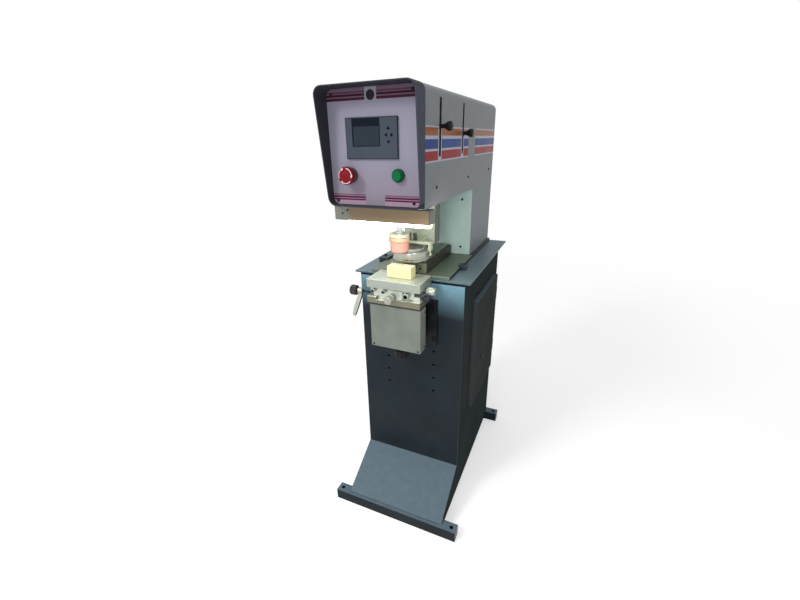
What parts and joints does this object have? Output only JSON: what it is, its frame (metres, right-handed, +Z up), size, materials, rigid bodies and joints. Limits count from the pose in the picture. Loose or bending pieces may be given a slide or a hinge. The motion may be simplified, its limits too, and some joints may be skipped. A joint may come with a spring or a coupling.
{
  "type": "pad printing machine",
  "caption": "Floor-standing pneumatic pad printer: sheet-metal cabinet, gooseneck head with control panel, closed ink cup, silicone pad and a cross table on a knee.",
  "frame": {"origin": "on the floor, under the middle of the machine's bounding box", "axes": "+Z up, -Y towards the operator, +X to the operator's right"},
  "size_m": [0.429, 0.762, 1.2805],
  "materials": {
    "bed_plate": "dark satin steel",
    "bridge_screw_left": "knurled steel",
    "bridge_screw_right": "knurled steel",
    "cabinet_front": "glossy blue-grey enamel",
    "cabinet_left_side": "glossy blue-grey enamel",
    "cabinet_rear": "glossy blue-grey enamel",
    "cabinet_right_side": "glossy blue-grey enamel",
    "carriage": "milled",
    "carriage_arm": "pale green satin",
    "casing": "grey powder coat",
    "casing_rear": "grey powder coat",
    "casing_underside": "grey powder coat",
    "control_panel": "lavender-grey film",
    "cup_bridge": "pale yellow-green satin",
    "cup_ring": "lapped hard metal",
    "door_lock": "chromed zinc",
    "estop_button": "red",
    "fixture_block": "cream casting resin",
    "front_foot_bar": "glossy blue-grey enamel",
    "front_stop": "machined",
    "front_stop_knob": "black",
    "hmi_housing": "blue-grey film",
    "hmi_screen": "dark display window",
    "ink_cup": "polished steel",
    "knee_cover": "grey powder coat",
    "knee_rail": "black oxide",
    "knee_slide": "black paint",
    "lamp_channel": "bare sheet",
    "lamp_diffuser": "opal",
    "left_clamp": "black oxide",
    "left_guide_rod": "ground",
    "lift_screw": "turned screw with a black moulded knob",
    "lock_knob": "black knurled",
    "lock_lever": "cast and tumbled",
    "lower_door_hinge": "zinc plated",
    "lower_plate": "milled",
    "main_frame": "primed steel plate",
    "pad": "pink silicone",
    "pad_cylinder": "anodised",
    "pad_holder": "lacquered",
    "pad_rod": "hard chrome",
    "plate_holder": "dark satin steel",
    "printing_plate": "lapped plate",
    "rear_foot_bar": "glossy blue-grey enamel",
    "rear_stop": "machined",
    "rear_stop_knob": "black",
    "right_clamp": "black oxide",
    "right_guide_rod": "ground",
    "side_door": "glossy blue-grey enamel",
    "side_lock_knob": "black",
    "start_button": "green",
    "table_top": "glossy blue-grey enamel",
    "travel_cylinder": "anodised",
    "upper_door_hinge": "zinc plated",
    "visor": "dark grey satin",
    "work_plate": "milled",
    "x_knob": "turned",
    "x_slide": "milled",
    "y_knob": "turned",
    "y_slide": "milled"
  },
  "bodies": {
    "base": {"front_foot_bar": "front_foot_bar", "rear_foot_bar": "rear_foot_bar", "cabinet_front": "cabinet_front", "cabinet_left_side": "cabinet_left_side", "cabinet_right_side": "cabinet_right_side", "cabinet_rear": "cabinet_rear", "table_top": "table_top", "lower_door_hinge": "lower_door_hinge", "upper_door_hinge": "upper_door_hinge", "knee_rail": "knee_rail", "bed_plate": "bed_plate", "left_clamp": "left_clamp", "right_clamp": "right_clamp", "plate_holder": "plate_holder", "printing_plate": "printing_plate", "main_frame": "main_frame", "left_guide_rod": "left_guide_rod", "right_guide_rod": "right_guide_rod", "travel_cylinder": "travel_cylinder", "casing": "casing", "casing_underside": "casing_underside", "casing_rear": "casing_rear", "visor": "visor", "control_panel": "control_panel", "hmi_housing": "hmi_housing", "hmi_screen": "hmi_screen", "lamp_channel": "lamp_channel", "lamp_diffuser": "lamp_diffuser"},
    "door": {"side_door": "side_door"},
    "cam_lock": {"door_lock": "door_lock"},
    "knee": {"knee_slide": "knee_slide", "knee_cover": "knee_cover", "lower_plate": "lower_plate"},
    "lift": {"lift_screw": "lift_screw"},
    "in_out_slide": {"y_slide": "y_slide"},
    "cross_slide": {"x_slide": "x_slide", "work_plate": "work_plate", "fixture_block": "fixture_block"},
    "in_out_knob": {"y_knob": "y_knob"},
    "cross_knob": {"x_knob": "x_knob"},
    "left_lock_knob": {"lock_knob": "lock_knob"},
    "clamp_lever": {"lock_lever": "lock_lever"},
    "right_lock_knob": {"side_lock_knob": "side_lock_knob"},
    "carriage_unit": {"carriage": "carriage", "carriage_arm": "carriage_arm", "pad_cylinder": "pad_cylinder", "cup_bridge": "cup_bridge", "bridge_screw_left": "bridge_screw_left", "bridge_screw_right": "bridge_screw_right", "ink_cup": "ink_cup", "cup_ring": "cup_ring"},
    "pad_unit": {"pad_rod": "pad_rod", "pad_holder": "pad_holder", "pad": "pad"},
    "emergency_stop": {"estop_button": "estop_button"},
    "start": {"start_button": "start_button"},
    "front_stop_block": {"front_stop": "front_stop"},
    "front_stop_handle": {"front_stop_knob": "front_stop_knob"},
    "rear_stop_block": {"rear_stop": "rear_stop"},
    "rear_stop_handle": {"rear_stop_knob": "rear_stop_knob"}
  },
  "joints": [
    {"name": "door_hinge", "type": "hinge", "parent": "base", "child": "door", "pos_m": [0.1775, 0.2705, 0.504], "axis": [0, 0, 1], "range_deg": [0, 110]},
    {"name": "door_lock_turn", "type": "hinge", "parent": "door", "child": "cam_lock", "pos_m": [0.1815, 0.06, 0.4575], "axis": [1, 0, 0], "range_deg": [-90, 0]},
    {"name": "knee_lift", "type": "slide", "parent": "base", "child": "knee", "axis": [0, 0, 1], "range_m": [-0.045, 0]},
    {"name": "lift_turn", "type": "hinge", "parent": "knee", "child": "lift", "pos_m": [-0.005, -0.208, 0.596], "axis": [0, 0, 1], "range_deg": [-3240, 0]},
    {"name": "in_out_feed", "type": "slide", "parent": "knee", "child": "in_out_slide", "axis": [0, 1, 0], "range_m": [-0.004, 0.009]},
    {"name": "in_out_knob_turn", "type": "hinge", "parent": "knee", "child": "in_out_knob", "pos_m": [-0.0109, -0.283, 0.768], "axis": [0, 1, 0], "range_deg": [-720, 1620]},
    {"name": "cross_feed", "type": "slide", "parent": "in_out_slide", "child": "cross_slide", "axis": [1, 0, 0], "range_m": [-0.009, 0.009]},
    {"name": "cross_knob_turn", "type": "hinge", "parent": "cross_slide", "child": "cross_knob", "pos_m": [0.1025, -0.2125, 0.7858], "axis": [1, 0, 0], "range_deg": [-1620, 1620]},
    {"name": "lock_knob_turn", "type": "hinge", "parent": "in_out_slide", "child": "left_lock_knob", "pos_m": [-0.1505, -0.235, 0.7675], "axis": [1, 0, 0], "range_deg": [0, 180]},
    {"name": "clamp_lever_swing", "type": "hinge", "parent": "in_out_slide", "child": "clamp_lever", "pos_m": [-0.127, -0.235, 0.7675], "axis": [1, 0, 0], "range_deg": [-60, 0]},
    {"name": "side_lock_turn", "type": "hinge", "parent": "in_out_slide", "child": "right_lock_knob", "pos_m": [0.0725, -0.225, 0.768], "axis": [1, 0, 0], "range_deg": [-180, 0]},
    {"name": "carriage_travel", "type": "slide", "parent": "base", "child": "carriage_unit", "axis": [0, 1, 0], "range_m": [0, 0.082]},
    {"name": "pad_stroke", "type": "slide", "parent": "carriage_unit", "child": "pad_unit", "axis": [0, 0, -1], "range_m": [0, 0.036]},
    {"name": "emergency_stop_press", "type": "slide", "parent": "base", "child": "emergency_stop", "axis": [0, 1, 0], "range_m": [0, 0.005]},
    {"name": "start_press", "type": "slide", "parent": "base", "child": "start", "axis": [0, 1, 0], "range_m": [0, 0.004], "stiffness_N_per_m": 600},
    {"name": "front_stop_set", "type": "slide", "parent": "base", "child": "front_stop_block", "axis": [0, 0, 1], "range_m": [-0.055, 0.05]},
    {"name": "front_stop_turn", "type": "hinge", "parent": "front_stop_block", "child": "front_stop_handle", "pos_m": [0.1132, -0.229, 1.1982], "axis": [1, 0, 0], "range_deg": [0, 360]},
    {"name": "rear_stop_set", "type": "slide", "parent": "base", "child": "rear_stop_block", "axis": [0, 0, 1], "range_m": [-0.037, 0.06]},
    {"name": "rear_stop_turn", "type": "hinge", "parent": "rear_stop_block", "child": "rear_stop_handle", "pos_m": [0.1132, -0.0405, 1.1847], "axis": [1, 0, 0], "range_deg": [0, 360]}
  ],
  "couplings": [
    {"joint": "lift_turn", "follows": "knee_lift", "rad_per_m": 1256.6},
    {"joint": "in_out_knob_turn", "follows": "in_out_feed", "rad_per_m": 3141.6},
    {"joint": "cross_knob_turn", "follows": "cross_feed", "rad_per_m": 3141.6}
  ]
}
